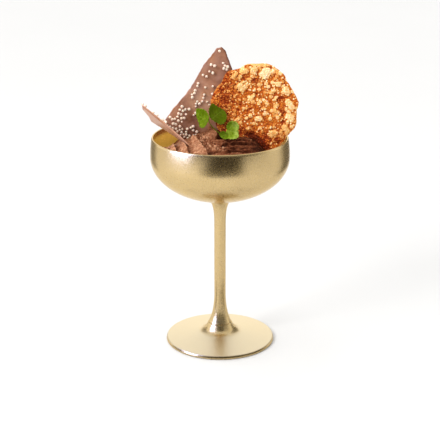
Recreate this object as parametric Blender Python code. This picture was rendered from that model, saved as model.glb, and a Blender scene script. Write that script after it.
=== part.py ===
"""Chocolate mousse in a gold metal coupe.

The mousse fills the bowl. It carries two thin chocolate shards, a round caramel crisp and a herb sprig.
Sizes are in millimetres and become metres when a mesh is made. Z is up, the origin is the middle of the
foot's underside, and the front of the serving looks along -Y.
"""
import math

import bmesh
import bpy
from mathutils import Vector

MM = 0.001
GAP = 0.4                      # clearance between a piece and the mousse or metal around it

# Coupe: one turned shape
COUPE_HEIGHT = 147.0
RIM_RADIUS = 46.0
BOWL_RADIUS = 47.15            # at the widest level
WIDEST_Z = 133.4
BOWL_BOTTOM_Z = 103.8          # where the bowl's curve would meet the axis
WALL = 1.3
STEM_RADIUS = 4.0
FOOT_RADIUS = 37.7
FOOT_EDGE = 2.2                # thickness of the foot at its rim
FOOT_SWEEP = (18.0, 5.1)       # (radius, height) where the foot's upper face starts to sweep up
CONE = (9.3, 10.2)             # steepest place of the sweep, near the bottom of the stem's cone
STEM_LOW_Z = 33.0              # the plain stretch of the stem lies between these
STEM_HIGH_Z = 85.0
NECK_RADIUS = 8.8              # where the stem's upper flare joins the bowl
TURNED_SEGMENTS = 56

# Mousse
MOUSSE_LEVEL = 146.6           # at the front rim
MOUSSE_GRID = 31               # points along each side of the surface's grid
MOUSSE_WALL_RINGS = (0.22, 0.48, 0.76)

# Thin pieces
SHARD_THICKNESS = 1.5
CRISP_RADIUS = 28.7
CRISP_THICKNESS = 2.6
LEAF_THICKNESS = 0.7
STALK_RADIUS = 0.7


def clear_scene():
    for item in list(bpy.data.objects):
        bpy.data.objects.remove(item, do_unlink=True)


def make_material(name, colour, roughness, metallic=0.0):
    material = bpy.data.materials.new(name)
    material.use_nodes = True
    shader = material.node_tree.nodes["Principled BSDF"]
    shader.inputs["Base Color"].default_value = (*colour, 1.0)
    shader.inputs["Roughness"].default_value = roughness
    shader.inputs["Metallic"].default_value = metallic
    return material


def make_object(name, points, faces, material=None):
    """A mesh object from points in millimetres, with its faces turned outwards."""
    mesh = bpy.data.meshes.new(name)
    mesh.from_pydata([Vector(point) * MM for point in points], [], faces)
    shell = bmesh.new()
    shell.from_mesh(mesh)
    bmesh.ops.recalc_face_normals(shell, faces=shell.faces)
    shell.to_mesh(mesh)
    shell.free()
    mesh.shade_smooth()
    mesh.set_sharp_from_angle(angle=math.radians(35))
    item = bpy.data.objects.new(name, mesh)
    bpy.context.scene.collection.objects.link(item)
    if material:
        mesh.materials.append(material)
    return item


def bezier(start, control_a, control_b, end, count):
    """Points after the start on one cubic curve in the (radius, height) plane."""
    curve = []
    for step in range(1, count + 1):
        t = step / count
        weights = ((1 - t) ** 3, 3 * t * (1 - t) ** 2, 3 * t * t * (1 - t), t ** 3)
        curve.append(tuple(sum(w * p[axis] for w, p in zip(weights, (start, control_a, control_b, end)))
                           for axis in (0, 1)))
    return curve


def smooth_step(low, high, value):
    t = min(max((value - low) / (high - low), 0.0), 1.0)
    return t * t * (3 - 2 * t)


def bell(distance, width):
    return math.exp(-(distance / width) ** 2)


# --- Coupe -----------------------------------------------------------------------------------------

def bowl_radius(z, inset=0.0):
    """Radius of the bowl at a height, moved inwards by inset: an ellipse below, drawn in to the rim."""
    if z >= WIDEST_Z:
        rise = (z - WIDEST_Z) / (COUPE_HEIGHT - WIDEST_Z)
        return BOWL_RADIUS - (BOWL_RADIUS - RIM_RADIUS) * rise ** 2 - inset
    depth = (WIDEST_Z - z) / (WIDEST_Z - BOWL_BOTTOM_Z - inset)
    return (BOWL_RADIUS - inset) * math.sqrt(max(1 - depth * depth, 0.0))


def bowl_height(radius, inset=0.0):
    """Height of the bowl's lower curve at a radius."""
    drop = (WIDEST_Z - BOWL_BOTTOM_Z - inset) * math.sqrt(1 - (radius / (BOWL_RADIUS - inset)) ** 2)
    return WIDEST_Z - drop


def coupe_outline():
    """(radius, height) from the middle of the underside, up the outside and down the inside."""
    edge = FOOT_EDGE / 2
    outline = [(0.0, 0.0), (FOOT_RADIUS - edge, 0.0)]
    for angle in (-45, 0, 45, 90):
        turn = math.radians(angle)
        outline.append((FOOT_RADIUS - edge + edge * math.cos(turn), edge + edge * math.sin(turn)))
    outline.append((25.0, 4.1))
    outline.append(FOOT_SWEEP)
    outline += bezier(FOOT_SWEEP, (13.4, 5.9), (11.2, 6.6), CONE, 4)
    outline += bezier(CONE, (7.6, 13.2), (4.3, 18.6), (STEM_RADIUS, STEM_LOW_Z), 6)
    outline.append((STEM_RADIUS, STEM_HIGH_Z))
    neck = (NECK_RADIUS, bowl_height(NECK_RADIUS))
    outline += bezier((STEM_RADIUS, STEM_HIGH_Z), (STEM_RADIUS, 94.0), (4.4, 99.5), neck, 6)
    for angle in (21, 34, 47, 60, 72, 82, 90):
        turn = math.radians(angle)
        outline.append((BOWL_RADIUS * math.sin(turn),
                        WIDEST_Z - (WIDEST_Z - BOWL_BOTTOM_Z) * math.cos(turn)))
    lip = WALL / 2
    for z in (138.5, 143.5, COUPE_HEIGHT - lip):
        outline.append((bowl_radius(z), z))
    for angle in (60, 120, 180):
        turn = math.radians(angle)
        outline.append((RIM_RADIUS - lip + lip * math.cos(turn), COUPE_HEIGHT - lip + lip * math.sin(turn)))
    for z in (143.0, 138.0):
        outline.append((bowl_radius(z, WALL), z))
    for angle in (90, 78, 66, 54, 42, 30, 16):
        turn = math.radians(angle)
        outline.append(((BOWL_RADIUS - WALL) * math.sin(turn),
                        WIDEST_Z - (WIDEST_Z - BOWL_BOTTOM_Z - WALL) * math.cos(turn)))
    outline.append((0.0, BOWL_BOTTOM_Z + WALL))
    return outline


def turn_outline(outline, segments):
    """Points and faces of a shape turned about Z; the outline starts and ends on the axis."""
    rings = outline[1:-1]
    points = [(0.0, 0.0, outline[0][1])]
    for radius, z in rings:
        for segment in range(segments):
            angle = 2 * math.pi * segment / segments
            points.append((radius * math.cos(angle), radius * math.sin(angle), z))
    points.append((0.0, 0.0, outline[-1][1]))
    last = len(points) - 1
    faces = []
    for segment in range(segments):
        after = (segment + 1) % segments
        faces.append((0, 1 + after, 1 + segment))
        for ring in range(len(rings) - 1):
            low = 1 + ring * segments
            high = low + segments
            faces.append((low + segment, low + after, high + after, high + segment))
        top = 1 + (len(rings) - 1) * segments
        faces.append((last, top + segment, top + after))
    return points, faces


def make_coupe(material):
    points, faces = turn_outline(coupe_outline(), TURNED_SEGMENTS)
    return make_object("coupe_glass", points, faces, material)


# --- Mousse ----------------------------------------------------------------------------------------

# Crisp folds left by the spoon: crest start, crest end, rise above the ground, width of the slope
# up to the crest at both ends. The far side of each crest, on its right, drops straight down.
FOLDS = (
    ((-31.0, -16.0), (-28.6, -35.0), 1.6, 2.0, 5.0),
    ((-26.0, -12.0), (-20.3, -40.5), 2.6, 1.6, 6.5),
    ((-18.3, -11.0), (-8.6, -43.5), 3.6, 1.2, 10.5),
    ((-7.6, 8.0), (-2.4, -11.0), 3.2, 1.0, 11.0),
)
# Low steps across the front right, one behind the other: where the step's line crosses x = 0, how
# far the line moves back for each millimetre to the right, the step's height
TERRACES = ((-39.5, 0.05, 1.3), (-33.0, 0.22, 1.6), (-23.0, 0.16, 1.5), (-12.0, 0.10, 1.3))


def fold_rise(x, y):
    rise = 0.0
    for (x0, y0), (x1, y1), height, width_start, width_end in FOLDS:
        length = math.hypot(x1 - x0, y1 - y0)
        along = ((x - x0) * (x1 - x0) + (y - y0) * (y1 - y0)) / length
        right = ((x - x0) * (y0 - y1) + (y - y0) * (x1 - x0)) / length
        width = width_start + (width_end - width_start) * min(max(along / length, 0.0), 1.0)
        window = smooth_step(-4.0, 1.0, along) * (1 - smooth_step(length, length + 4.0, along))
        slope = max(1 + right / width, 0.0) if right < 0 else 1 - smooth_step(0.0, 1.6, right)
        rise += height * window * slope
    return rise


def terrace_rise(x, y):
    rise = 0.0
    for start, slope, height in TERRACES:
        behind = y - start - slope * x
        rise += height * (smooth_step(-1.2, 0.6, behind) - smooth_step(0.6, 9.0, behind))
    return rise * smooth_step(-6.0, 2.0, x) * (1 - smooth_step(22.0, 30.0, x))


def mousse_height(x, y):
    """Height of the mousse's upper surface."""
    crown = 4.0 * bell(math.hypot(x + 3.0, y + 4.0), 26.0)
    back = 7.5 * smooth_step(6.0, 36.0, y)
    left = 12.0 * bell(math.hypot((x + 46.0) / 20.0, (y - 8.0) / 24.0), 1.0)
    left += 9.0 * bell(math.hypot((x + 42.0) / 15.0, (y - 20.0) / 16.0), 1.0)
    right = 9.0 * smooth_step(23.0, 33.0, x) * (1 - smooth_step(12.0, 34.0, y))
    swirl = 0.7 * math.sin(0.42 * x + 1.9 * math.sin(0.11 * y)) * smooth_step(4.0, 16.0, y)
    return MOUSSE_LEVEL + crown + swirl + fold_rise(x, y) + terrace_rise(x, y) - back - left - right


def disc_point(u, v):
    """A point of the square -1..1 moved into the unit circle."""
    return u * math.sqrt(1 - v * v / 2), v * math.sqrt(1 - u * u / 2)


def make_mousse(material):
    side = MOUSSE_GRID
    points = []
    for row in range(side):
        for column in range(side):
            u, v = disc_point(2 * column / (side - 1) - 1, 2 * row / (side - 1) - 1)
            reach = bowl_radius(COUPE_HEIGHT, WALL + GAP)
            z = mousse_height(u * reach, v * reach)
            spread = bowl_radius(z, WALL + GAP)
            points.append((u * spread, v * spread, z))
    faces = []
    for row in range(side - 1):
        for column in range(side - 1):
            corner = row * side + column
            faces.append((corner, corner + 1, corner + side + 1, corner + side))
    border = list(range(side))
    border += [row * side + side - 1 for row in range(1, side)]
    border += [(side - 1) * side + column for column in range(side - 2, -1, -1)]
    border += [row * side for row in range(side - 2, 0, -1)]
    floor_z = BOWL_BOTTOM_Z + WALL + GAP
    loop = border
    for share in MOUSSE_WALL_RINGS:
        start = len(points)
        for index in border:
            x, y, z = points[index]
            low = z + (floor_z - z) * share
            radius = bowl_radius(low, WALL + GAP)
            angle = math.atan2(y, x)
            points.append((radius * math.cos(angle), radius * math.sin(angle), low))
        below = list(range(start, len(points)))
        for index in range(len(border)):
            after = (index + 1) % len(border)
            faces.append((loop[after], loop[index], below[index], below[after]))
        loop = below
    points.append((0.0, 0.0, floor_z))
    for index in range(len(border)):
        faces.append((loop[(index + 1) % len(border)], loop[index], len(points) - 1))
    return make_object("mousse", points, faces, material)


# --- Thin pieces -----------------------------------------------------------------------------------

def curve_through(corners, steps, wave=0.0):
    """An outline that runs through the corners in straight stretches with a slight wave between them."""
    outline = []
    for index, (x0, y0) in enumerate(corners):
        x1, y1 = corners[(index + 1) % len(corners)]
        length = math.hypot(x1 - x0, y1 - y0)
        for step in range(steps):
            t = step / steps
            sway = wave * math.sin(2 * math.pi * t) * math.sin(1.7 * index + 0.6)
            outline.append((x0 + (x1 - x0) * t - (y1 - y0) / length * sway,
                            y0 + (y1 - y0) * t + (x1 - x0) / length * sway))
    return outline


def anticlockwise(outline):
    doubled_area = sum(outline[i - 1][0] * outline[i][1] - outline[i][0] * outline[i - 1][1]
                       for i in range(len(outline)))
    return outline if doubled_area > 0 else outline[::-1]


def grown(outline, amount):
    """The outline moved outwards by amount; it runs anticlockwise."""
    result = []
    count = len(outline)
    for index in range(count):
        before = Vector(outline[index - 1])
        here = Vector(outline[index])
        after = Vector(outline[(index + 1) % count])
        first = (here - before).normalized()
        second = (after - here).normalized()
        outward = Vector((first.y + second.y, -first.x - second.x)).normalized()
        sharpness = max(math.sqrt(max((1 + first.dot(second)) / 2, 0.0)), 0.35)
        result.append(tuple(here + outward * amount / sharpness))
    return result


def make_plate(name, outline, centre, surface, thickness, rings, material=None, grow=0.0):
    """A thin closed sheet: the outline shrinks towards its centre in rings, and surface places each
    flat (s, t) point in space. Both sides lie half the thickness from that surface."""
    if grow:
        outline = grown(outline, grow)
    half = thickness / 2 + grow
    count = len(outline)
    flat = []
    for ring in range(rings):
        share = 1 - ring / rings
        flat += [(centre[0] + (s - centre[0]) * share, centre[1] + (t - centre[1]) * share)
                 for s, t in outline]
    flat.append(centre)
    points = []
    for side in (1, -1):
        for s, t in flat:
            here = surface(s, t)
            along_s = surface(s + 0.05, t) - here
            along_t = surface(s, t + 0.05) - here
            points.append(here + along_s.cross(along_t).normalized() * half * side)
    layer = len(flat)
    faces = []
    for index in range(count):
        after = (index + 1) % count
        for base in (0, layer):
            for ring in range(rings - 1):
                outer = base + ring * count
                inner = outer + count
                faces.append((outer + index, outer + after, inner + after, inner + index))
            last = base + (rings - 1) * count
            faces.append((last + index, last + after, base + layer - 1))
        faces.append((index, after, layer + after, layer + index))
    return make_object(name, points, faces, material)


def leaning_plane(origin, yaw, lean):
    """Right, up and front directions of an upright plane turned by yaw and leaning back by lean."""
    yaw = math.radians(yaw)
    lean = math.radians(lean)
    right = Vector((math.cos(yaw), math.sin(yaw), 0.0))
    front_flat = Vector((math.sin(yaw), -math.cos(yaw), 0.0))
    up = Vector((0, 0, math.cos(lean))) - front_flat * math.sin(lean)
    return Vector(origin), right, up, right.cross(up)


# The tall shard stands behind the others. Its outline lies in a plane whose origin is at rim height.
TALL_PLANE = leaning_plane((0.0, 5.0, 147.0), 12.0, 4.0)
TALL_OUTLINE = ((2.2, 59.0), (-0.8, 58.4), (-10.0, 47.5), (-17.0, 35.5), (-22.5, 28.5), (-31.5, 19.5),
                (-38.5, 11.2), (-31.0, 3.0), (-22.5, -5.0), (-6.0, -14.0), (12.0, -14.0), (17.0, 8.0),
                (13.5, 28.0), (9.0, 45.0), (6.2, 52.8), (4.6, 56.6))


def tall_surface(s, t):
    """Bowed gently, with its lower left corner curling to the front."""
    origin, right, up, front = TALL_PLANE
    bow = 1.6 * math.cos(math.pi * (s + 12.0) / 60.0) + 1.2 * math.sin(math.pi * t / 55.0)
    curl = 2.2 * smooth_step(14.0, 34.0, -s)
    return origin + right * s + up * t + front * (curl - bow)


# The left shard reaches out over the rim. Its plane is given by three corners in space.
LEFT_TIP = Vector((-51.2, -12.0, 169.6))
LEFT_FAR = Vector((-47.6, 2.0, 157.4))
LEFT_ROOT = Vector((-15.0, -27.0, 142.8))
# Its outline: shares of the long side from the tip and of the short side from the near edge
LEFT_OUTLINE = ((0.01, 0.0), (0.03, -0.32), (0.52, -0.02), (1.0, -0.01), (1.02, 0.08), (0.80, 0.22),
                (0.50, 0.50), (0.22, 0.78), (0.10, 0.84), (0.09, 0.42))


def left_axes():
    long_side = LEFT_ROOT - LEFT_TIP
    short_side = LEFT_FAR - LEFT_TIP
    short_side -= long_side * 0.05
    return long_side, short_side


def left_surface(s, t):
    """s runs from the tip to the root and t from the near edge to the far edge, both in mm."""
    long_side, short_side = left_axes()
    normal = long_side.cross(short_side).normalized()
    bow = 1.3 * math.sin(math.pi * s / long_side.length)
    return LEFT_TIP + long_side.normalized() * s + short_side.normalized() * t + normal * bow


# The crisp leans back on the tall shard, with its lower edge in the mousse.
CRISP_PLANE = leaning_plane((24.0, 0.0, 167.3), 0.0, 17.0)
# Lobes of its edge: direction in degrees, how far it stands out, angular width
CRISP_LOBES = ((32, -1.9, 20), (71, 1.5, 9), (-4, -0.9, 12), (126, 0.9, 6), (170, 1.5, 14), (-45, -0.5, 5),
               (-63, 2.6, 13))


def crisp_radius(angle):
    radius = CRISP_RADIUS + 0.35 * math.sin(9 * angle) + 0.25 * math.sin(14 * angle + 1.0)
    for direction, height, width in CRISP_LOBES:
        turn = (math.degrees(angle) - direction + 180) % 360 - 180
        radius += height * bell(turn, width)
    return radius


def crisp_surface(s, t):
    origin, right, up, front = CRISP_PLANE
    cup = 0.0016 * (s * s + t * t) + 0.35 * math.sin(s / 5.0) * math.sin(t / 6.0 + 0.8)
    return origin + right * s + up * t + front * cup


def crisp_outline(count):
    turns = [2 * math.pi * step / count for step in range(count)]
    return [(crisp_radius(turn) * math.cos(turn), crisp_radius(turn) * math.sin(turn)) for turn in turns]


def make_thin_pieces(chocolate, caramel):
    """The two shards and the crisp, each with a slightly larger twin that cuts its slot in the mousse."""
    tall = anticlockwise(curve_through(TALL_OUTLINE, 3, 0.15))
    long_side, short_side = left_axes()
    left_corners = [(s * long_side.length, t * short_side.length) for s, t in LEFT_OUTLINE]
    left = anticlockwise(curve_through(left_corners, 3, 0.12))
    plans = (
        ("shard_tall", tall, (-8.0, 20.0), tall_surface, SHARD_THICKNESS, 3, chocolate),
        ("shard_left", left, (0.32 * long_side.length, 0.25 * short_side.length), left_surface,
         SHARD_THICKNESS, 2, chocolate),
        ("caramel_crisp", crisp_outline(50), (0.0, 0.0), crisp_surface, CRISP_THICKNESS, 4, caramel),
    )
    cutters = []
    for name, outline, centre, surface, thickness, rings, material in plans:
        make_plate(name, outline, centre, surface, thickness, rings, material)
        cutters.append(make_plate(name + "_slot", outline, centre, surface, thickness, rings, grow=GAP))
    return cutters


# --- Herb sprig ------------------------------------------------------------------------------------

# Leaf base, direction of its length, direction its face looks, length, half width
LEAVES = (
    ((-7.0, -8.5, 158.4), (-0.56, 0.06, 0.82), (-0.25, -0.90, 0.35), 12.2, 4.9),
    ((-7.2, -8.4, 161.4), (0.94, 0.08, 0.26), (0.10, -0.92, 0.30), 12.6, 6.3),
    ((7.6, -17.4, 150.8), (0.17, 0.08, 0.98), (0.25, -0.85, 0.45), 11.4, 4.5),
    ((7.2, -17.4, 150.8), (-0.93, 0.05, 0.30), (-0.15, -0.80, 0.55), 7.6, 3.6),
)
STALK_ROUTE = ((9.0, -17.8, 146.8), (7.4, -17.5, 150.6), (3.4, -17.0, 151.8), (-0.6, -15.4, 153.6),
               (-4.4, -12.4, 156.2), (-7.1, -8.5, 159.0), (-7.3, -8.3, 161.6))


def leaf_outline(length, half_width):
    """A leaf with a rounded base and a short point, lying along +s."""
    right_side = [(-0.04, 0.12), (0.10, 0.62), (0.34, 1.0), (0.62, 0.95), (0.86, 0.58)]
    upper = [(s * length, w * half_width) for s, w in right_side]
    lower = [(s, -w) for s, w in upper]
    return lower + [(length, 0.0)] + upper[::-1]


def make_leaf(name, leaf, grow):
    base, along, face, length, half_width = leaf
    base = Vector(base)
    along = Vector(along).normalized()
    face = Vector(face)
    face = (face - along * face.dot(along)).normalized()
    across = face.cross(along)

    def surface(s, t):
        lift = 0.9 * abs(t) / half_width - 1.1 * (s / length) ** 2
        return base + along * s + across * t + face * lift

    return make_plate(name, leaf_outline(length, half_width), (0.45 * length, 0.0), surface,
                      LEAF_THICKNESS, 2, grow=grow)


def make_stalk(name, grow):
    """The sprig's stalk, a six-sided tube along its route; grow widens it and lengthens its lower end."""
    radius = STALK_RADIUS + grow
    route = [Vector(point) for point in STALK_ROUTE]
    route[0] += (route[0] - route[1]).normalized() * grow * 2
    points = []
    for index, here in enumerate(route):
        ahead = route[min(index + 1, len(route) - 1)] - route[max(index - 1, 0)]
        side = ahead.cross(Vector((0, 1, 0))).normalized()
        other = ahead.cross(side).normalized()
        for corner in range(6):
            turn = math.pi * corner / 3
            points.append(here + side * radius * math.cos(turn) + other * radius * math.sin(turn))
    faces = [tuple(range(6)), tuple(range(len(points) - 6, len(points)))]
    for ring in range(len(route) - 1):
        for corner in range(6):
            after = (corner + 1) % 6
            low = ring * 6
            faces.append((low + corner, low + after, low + 6 + after, low + 6 + corner))
    return make_object(name, points, faces)


def make_sprig(name, grow=0.0):
    """The stalk with its leaves joined on."""
    sprig = make_stalk(name, grow)
    for index, leaf in enumerate(LEAVES):
        add_boolean(sprig, make_leaf("%s_leaf_%d" % (name, index), leaf, grow), "UNION")
    return sprig


def add_boolean(item, other, operation):
    cut = item.modifiers.new(other.name, "BOOLEAN")
    cut.operation = operation
    cut.object = other
    other.hide_render = True
    other.display_type = "WIRE"


def main():
    clear_scene()
    gold = make_material("gold", (0.60, 0.42, 0.16), 0.32, 1.0)
    mousse_brown = make_material("mousse", (0.25, 0.092, 0.045), 0.50)
    chocolate = make_material("chocolate", (0.38, 0.155, 0.082), 0.40)
    caramel = make_material("caramel", (0.64, 0.21, 0.03), 0.18)
    leaf_green = make_material("leaf", (0.115, 0.185, 0.005), 0.50)
    make_coupe(gold)
    mousse = make_mousse(mousse_brown)
    for cutter in make_thin_pieces(chocolate, caramel):
        add_boolean(mousse, cutter, "DIFFERENCE")
    make_sprig("herb_sprig").data.materials.append(leaf_green)
    add_boolean(mousse, make_sprig("herb_slot", GAP), "DIFFERENCE")


main()
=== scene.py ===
"""Chocolate mousse in a gold coupe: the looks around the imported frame.

Shapes are worked out in millimetres and become metres when a mesh is made.
"""
import random
from math import asin, atan2, cos, degrees, exp, hypot, pi, radians, sin, sqrt

import bmesh
import bpy
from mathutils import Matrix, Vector, noise


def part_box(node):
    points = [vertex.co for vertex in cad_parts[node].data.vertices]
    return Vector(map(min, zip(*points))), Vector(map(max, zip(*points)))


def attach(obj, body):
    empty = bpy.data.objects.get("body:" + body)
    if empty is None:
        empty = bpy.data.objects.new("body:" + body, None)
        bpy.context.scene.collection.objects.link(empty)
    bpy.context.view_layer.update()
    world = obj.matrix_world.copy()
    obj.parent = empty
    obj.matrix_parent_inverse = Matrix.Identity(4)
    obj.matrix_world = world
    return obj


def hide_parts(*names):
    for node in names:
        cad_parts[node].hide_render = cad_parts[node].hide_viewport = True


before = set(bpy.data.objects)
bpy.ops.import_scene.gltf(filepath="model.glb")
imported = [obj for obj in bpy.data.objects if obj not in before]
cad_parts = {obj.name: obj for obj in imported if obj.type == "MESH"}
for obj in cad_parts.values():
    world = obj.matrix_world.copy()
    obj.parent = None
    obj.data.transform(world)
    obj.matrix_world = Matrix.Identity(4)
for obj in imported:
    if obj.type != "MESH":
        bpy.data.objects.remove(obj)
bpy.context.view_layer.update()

MM = 0.001
glass_low, glass_high = (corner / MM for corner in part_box("coupe_glass"))
COUPE_HEIGHT = glass_high.z
BOWL_RADIUS = (glass_high.x - glass_low.x) / 2


# --- Small tools ---

def smooth_step(low, high, value):
    t = min(max((value - low) / (high - low), 0.0), 1.0)
    return t * t * (3 - 2 * t)


def bell(distance, width=1.0):
    return exp(-(distance / width) ** 2)


def mix(a, b, share):
    return a + (b - a) * share


def rough_noise(x, y, z, scale, octaves=1):
    """Noise in about -1..1 whose largest features are scale wide."""
    point = Vector((x / scale, y / scale, z / scale))
    total = noise.noise(point)
    weight = 1.0
    for _ in range(1, octaves):
        weight *= 0.5
        point = point * 2.03 + Vector((3.1, 5.7, 1.9))
        total += weight * noise.noise(point)
    return total


def cells(x, y, z, scale):
    """Distance to the nearest cell centre and to the edge between the two nearest, in cell units."""
    distances, points = noise.voronoi(Vector((x / scale, y / scale, z / scale)))
    return distances[0], distances[1] - distances[0], points[0]


def patch(s, t, s0, t0, half_length, half_width, turn):
    """How far inside a tilted oval the place is: 1 at its middle, 0 at its edge, below 0 outside."""
    turn = radians(turn)
    along = ((s - s0) * cos(turn) + (t - t0) * sin(turn)) / half_length
    across = ((t - t0) * cos(turn) - (s - s0) * sin(turn)) / half_width
    return 1 - hypot(along, across)


def grid_faces(side):
    """Faces between the points of a square grid that are stored row by row."""
    return [(corner, corner + 1, corner + side + 1, corner + side)
            for row in range(side - 1) for corner in range(row * side, row * side + side - 1)]


def band(first, second, count):
    """Faces between two closed rings of points that start at these indices."""
    return [(first + index, first + (index + 1) % count, second + (index + 1) % count, second + index)
            for index in range(count)]


def fan(ring, tip, count):
    """Triangles from a closed ring of points to one point."""
    return [(ring + index, ring + (index + 1) % count, tip) for index in range(count)]


def stacked_bands(start, rings, count):
    """Faces along closed rings of points that follow one another from an index on."""
    return [face for ring in range(rings - 1)
            for face in band(start + ring * count, start + (ring + 1) * count, count)]


def sheet_faces(start, rings, count):
    """Faces of a thin closed sheet: on each side rings that shrink to a middle point, and its edge."""
    layer = rings * count + 1
    faces = band(start, start + layer, count)
    for base in (start, start + layer):
        faces += stacked_bands(base, rings, count)
        faces += fan(base + (rings - 1) * count, base + layer - 1, count)
    return faces


def place_and_normal(surface, s, t, step=0.05):
    """A point of a surface and the direction that its front faces there."""
    here = surface(s, t)
    return here, (surface(s + step, t) - here).cross(surface(s, t + step) - here).normalized()


def curve_through(corners, count, closed):
    """A smooth curve through the corners, with this many points between each two."""
    corners = [Vector(corner) for corner in corners]
    size = len(corners)
    curve = []
    for index in range(size if closed else size - 1):
        near = (index + shift for shift in (-1, 0, 1, 2))
        before, a, b, after = (corners[number % size if closed else min(max(number, 0), size - 1)]
                               for number in near)
        for step in range(count):
            t = step / count
            curve.append(0.5 * (2 * a + (b - before) * t + (2 * before - 5 * a + 4 * b - after) * t * t
                                + (3 * a - before - 3 * b + after) * t ** 3))
    return curve if closed else curve + [corners[-1]]


def put(name, data):
    item = bpy.data.objects.new(name, data)
    bpy.context.scene.collection.objects.link(item)
    return item


def put_mesh(name, points, faces, material, layers):
    """A mesh object in the scene. Each layer holds one number for each point."""
    mesh = bpy.data.meshes.new(name)
    mesh.from_pydata(points, [], faces)
    for key, values in layers.items():
        mesh.attributes.new(key, "FLOAT", "POINT").data.foreach_set("value", values)
    mesh.materials.append(material)
    return put(name, mesh)


def add_piece(name, points, faces, material, node, layers, sharp=None):
    """A mesh piece on the root body from points in millimetres, with its faces turned outwards."""
    piece = put_mesh(name, [Vector(point) * MM for point in points], faces, material, layers)
    shell = bmesh.new()
    shell.from_mesh(piece.data)
    bmesh.ops.recalc_face_normals(shell, faces=shell.faces)
    shell.to_mesh(piece.data)
    shell.free()
    piece.data.shade_smooth()
    if sharp:
        piece.data.set_sharp_from_angle(angle=radians(sharp))
    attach(piece, "root")
    if node:
        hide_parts(node)
    return piece


# --- Materials ---

class Nodes:
    """A shader node tree with a few short ways to add to it."""

    def __init__(self, tree):
        self.tree = tree

    def add(self, kind, **inputs):
        item = self.tree.nodes.new(kind)
        for key, value in inputs.items():
            self.feed(item.inputs[key.replace("_", " ")], value)
        return item

    def feed(self, socket, value):
        if isinstance(value, bpy.types.NodeSocket):
            self.tree.links.new(value, socket)
        else:
            socket.default_value = value

    def span(self, factor, low, high, to_low, to_high, kind="LINEAR"):
        item = self.add("ShaderNodeMapRange", Value=factor, From_Min=low, From_Max=high, To_Min=to_low,
                        To_Max=to_high)
        item.interpolation_type = kind
        return item.outputs["Result"]

    def number_blend(self, factor, first, second):
        item = self.tree.nodes.new("ShaderNodeMix")
        for index, value in ((0, factor), (2, first), (3, second)):
            self.feed(item.inputs[index], value)
        return item.outputs[0]


class Surface(Nodes):
    """A Principled material with a few short ways to add procedural detail."""

    def __init__(self, name, **sockets):
        self.material = bpy.data.materials.new(name)
        self.material.use_nodes = True
        super().__init__(self.material.node_tree)
        self.shader = self.tree.nodes["Principled BSDF"]
        for socket, value in sockets.items():
            self.set(socket.replace("_", " "), value)
        self.place = self.add("ShaderNodeTexCoord").outputs["Object"]

    def set(self, socket, value):
        self.feed(self.shader.inputs[socket], value)

    def noise(self, scale_mm, detail=3.0, roughness=0.55):
        return self.add("ShaderNodeTexNoise", Vector=self.place, Scale=1000.0 / scale_mm, Detail=detail,
                        Roughness=roughness).outputs["Fac"]

    def attribute(self, name):
        item = self.add("ShaderNodeAttribute")
        item.attribute_name = name
        return item.outputs["Fac"]

    def ramp(self, factor, *stops):
        """Colours or greys along a 0..1 factor; each stop is (position, colour)."""
        item = self.add("ShaderNodeValToRGB", Fac=factor)
        elements = item.color_ramp.elements
        while len(elements) < len(stops):
            elements.new(0.5)
        for element, (position, colour) in zip(elements, stops):
            element.position = position
            element.color = (*colour, 1.0) if isinstance(colour, tuple) else (colour, colour, colour, 1.0)
        return item.outputs["Color"]

    def blend(self, factor, first, second, mode="MIX"):
        item = self.tree.nodes.new("ShaderNodeMix")
        item.data_type = "RGBA"
        item.blend_type = mode
        self.feed(item.inputs[0], factor)
        for socket, value in ((item.inputs[6], first), (item.inputs[7], second)):
            self.feed(socket, (*value, 1.0) if isinstance(value, tuple) else value)
        return item.outputs[2]

    def bump(self, height, strength, distance_mm):
        item = self.add("ShaderNodeBump", Height=height, Strength=strength, Distance=distance_mm * MM)
        self.set("Normal", item.outputs["Normal"])


def gold_material():
    gold = Surface("gold_satin", Specular_Tint=(0.95, 0.80, 0.50, 1.0), Coat_IOR=2.2, Coat_Roughness=0.22)
    patches = gold.noise(14.0, 4.0)
    grain = gold.noise(0.9, 2.0, 0.7)
    inside = gold.attribute("inside")
    foot = gold.attribute("foot")
    tint = gold.ramp(patches, (0.3, (0.575, 0.398, 0.142)), (0.7, (0.620, 0.432, 0.160)))
    tint = gold.blend(gold.span(grain, 0.35, 0.7, 0.0, 0.35), tint, (0.33, 0.215, 0.062))
    # The foot plate gets a paler base colour as painted reflection, and a rougher finish.
    tint = gold.blend(foot, tint, (0.660, 0.562, 0.370))
    # The inner wall is painted a brighter, mostly diffuse gold that the bowl_glow lamp lights: painted
    # reflection in place of its mirrored gold.
    gold.set("Base Color", gold.blend(inside, tint, (0.93, 0.67, 0.140)))
    gold.set("Metallic", gold.span(inside, 0.0, 1.0, 1.0, 0.20))
    rough = gold.add("ShaderNodeMath", Value=gold.span(grain, 0.3, 0.7, 0.21, 0.30))
    gold.feed(rough.inputs[1], gold.span(foot, 0.0, 1.0, 0.0, 0.13))
    gold.set("Roughness", rough.outputs[0])
    gold.set("Coat Weight", gold.span(inside, 0.0, 1.0, 0.6, 0.12))
    gold.bump(grain, 0.5, 0.16)
    return gold.material


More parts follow.
